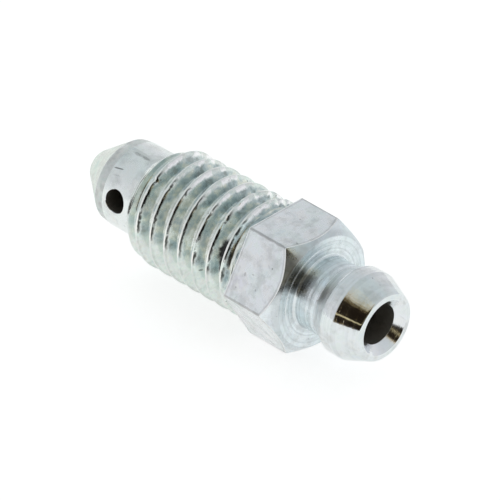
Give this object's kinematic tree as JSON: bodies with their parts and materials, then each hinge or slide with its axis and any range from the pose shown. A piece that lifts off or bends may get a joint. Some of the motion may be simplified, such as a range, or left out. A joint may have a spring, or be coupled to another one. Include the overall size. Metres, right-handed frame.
{
  "type": "bleeder screw",
  "caption": "Hollow hexagon screw with a metric thread, a conical sealing nose crossed by an outlet hole, and a beaded nipple for a bleed hose",
  "frame": {"origin": "on the screw's axis, at the hexagon's shoulder, which is the face towards the thread", "axes": "+X along the screw's axis towards the hose end, +Z out of one flat of the hexagon, which faces up as the screw lies on the opposite flat, +Y completes the right-handed frame"},
  "size_m": [0.0252, 0.0092, 0.008],
  "materials": {
    "zinc_plated_steel": "bright zinc plate with fine turning lines"
  },
  "bodies": {
    "root": {"bleeder_screw": "zinc_plated_steel"}
  },
  "joints": []
}
